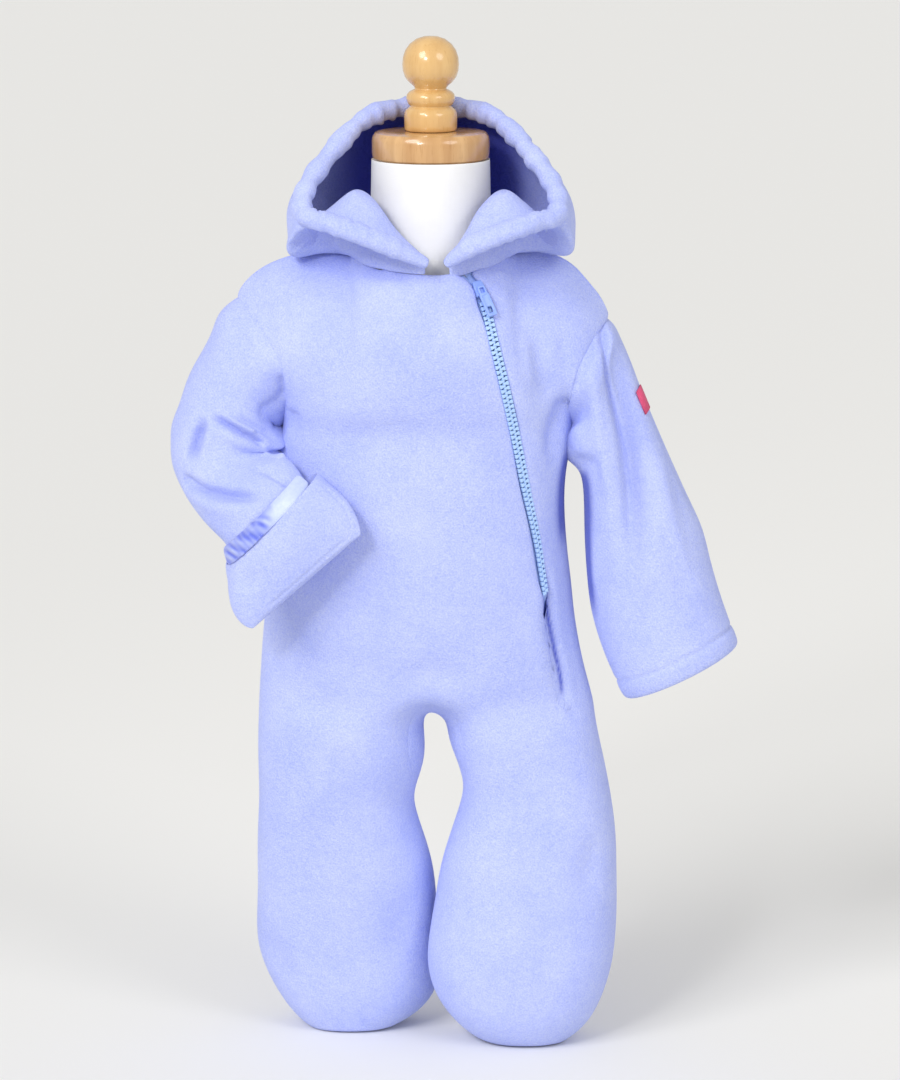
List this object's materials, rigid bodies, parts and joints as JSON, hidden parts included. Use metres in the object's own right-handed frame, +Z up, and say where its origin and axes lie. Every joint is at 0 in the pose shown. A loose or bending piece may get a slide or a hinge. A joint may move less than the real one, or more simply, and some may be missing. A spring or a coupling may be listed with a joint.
{
  "type": "baby bunting suit on a limbless dress form",
  "caption": "Hooded footed fleece bunting suit with an aslant zip, a fold-over mitten cuff and a gathered hood edge, worn by a limbless dress form with a turned wooden finial.",
  "frame": {"origin": "middle of the underside's bounding box, on the floor under the two soles", "axes": "+Z up, the suit's front faces -Y, +X to the wearer's left"},
  "size_m": [0.3528, 0.1489, 0.6317],
  "materials": {
    "fleece": "brushed lavender fleece",
    "satin": "satin ribbon",
    "tape": "woven zip tape",
    "tab_cloth": "plain woven tab",
    "zip_plastic": "moulded sky-blue plastic",
    "jersey": "white knitted jersey cover",
    "wood": "varnished golden wood",
    "steel": "plain rod"
  },
  "bodies": {
    "suit": {"back": "fleece", "finial": "wood", "form_torso": "jersey", "front": "fleece", "hood_casing": "fleece", "hood_left": "fleece", "hood_right": "fleece", "mitten_ribbon": "satin", "mitten_right": "fleece", "neck_cap": "wood", "sleeve_left": "fleece", "sleeve_right": "fleece", "sleeve_tab": "tab_cloth", "stand_rod_left": "steel", "stand_rod_right": "steel", "zip_chain": "zip_plastic", "zip_slider": "zip_plastic", "zip_tape_left": "tape", "zip_tape_right": "tape"},
    "zip_pull": {"zip_pull": "zip_plastic"}
  },
  "joints": [
    {"name": "zip_pull_turn", "type": "hinge", "parent": "suit", "child": "zip_pull", "pos_m": [0.01504, -0.03441, 0.48285], "axis": [-0.8606, -0.4661, -0.2051], "range_deg": [0, 100]}
  ]
}
